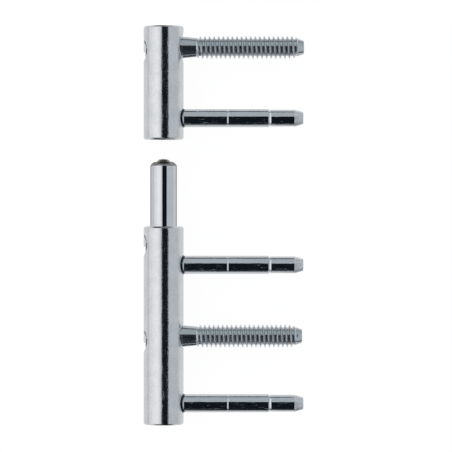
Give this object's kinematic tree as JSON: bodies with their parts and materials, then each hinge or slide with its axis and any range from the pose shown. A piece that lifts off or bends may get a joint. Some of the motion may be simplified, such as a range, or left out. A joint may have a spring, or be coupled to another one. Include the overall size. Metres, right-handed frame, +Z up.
{
  "type": "lift off hinge",
  "caption": "Lift-off drill-in hinge, shown pulled apart: two round steel barrels on one axle, with threaded adjusting pins and plain support pins for a door and its frame.",
  "frame": {"origin": "middle of the frame barrel's closed lower end face, on the hinge axis", "axes": "+Y along the hinge axis from the frame part to the leaf part, +X the way the pins point, +Z up from the surface that the hinge lies on"},
  "size_m": [0.0601, 0.1492, 0.015],
  "materials": {
    "zinc_barrel": "bright zinc plate with fine lengthwise streaks",
    "zinc_pin": "bright zinc plate, turned",
    "zinc_screw": "bright zinc plate, rolled thread",
    "ground_steel": "ground and polished",
    "hardened_steel": "hardened, brownish",
    "bush_polymer": "dark plain-bearing polymer"
  },
  "bodies": {
    "frame_part": {"frame_barrel": "zinc_barrel", "axle": "ground_steel", "bearing_button": "hardened_steel", "axle_grub_screw": "zinc_screw", "frame_support_pin_lower": "zinc_pin", "frame_support_pin_upper": "zinc_pin", "frame_screw_cap": "zinc_barrel", "grub_screw_cap": "zinc_barrel"},
    "frame_screw": {"frame_screw_pin": "zinc_screw"},
    "thrust_pad": {"thrust_pad": "hardened_steel"},
    "leaf_part": {"leaf_barrel": "zinc_barrel", "leaf_bush": "bush_polymer", "leaf_support_pin": "zinc_pin", "leaf_screw_cap": "zinc_barrel"},
    "leaf_screw": {"leaf_screw_pin": "zinc_screw"}
  },
  "joints": [
    {"name": "lift", "type": "slide", "parent": "frame_part", "child": "thrust_pad", "axis": [0, 1, 0], "range_m": [-0.0321, 0]},
    {"name": "swing", "type": "hinge", "parent": "thrust_pad", "child": "leaf_part", "pos_m": [0, 0.1313, 0], "axis": [0, -1, 0], "range_deg": [0, 180]},
    {"name": "frame_screw_turn", "type": "hinge", "parent": "frame_part", "child": "frame_screw", "pos_m": [0, 0.0331, 0], "axis": [1, 0, 0], "continuous": true},
    {"name": "leaf_screw_turn", "type": "hinge", "parent": "leaf_part", "child": "leaf_screw", "pos_m": [0, 0.1413, 0], "axis": [1, 0, 0], "continuous": true}
  ]
}
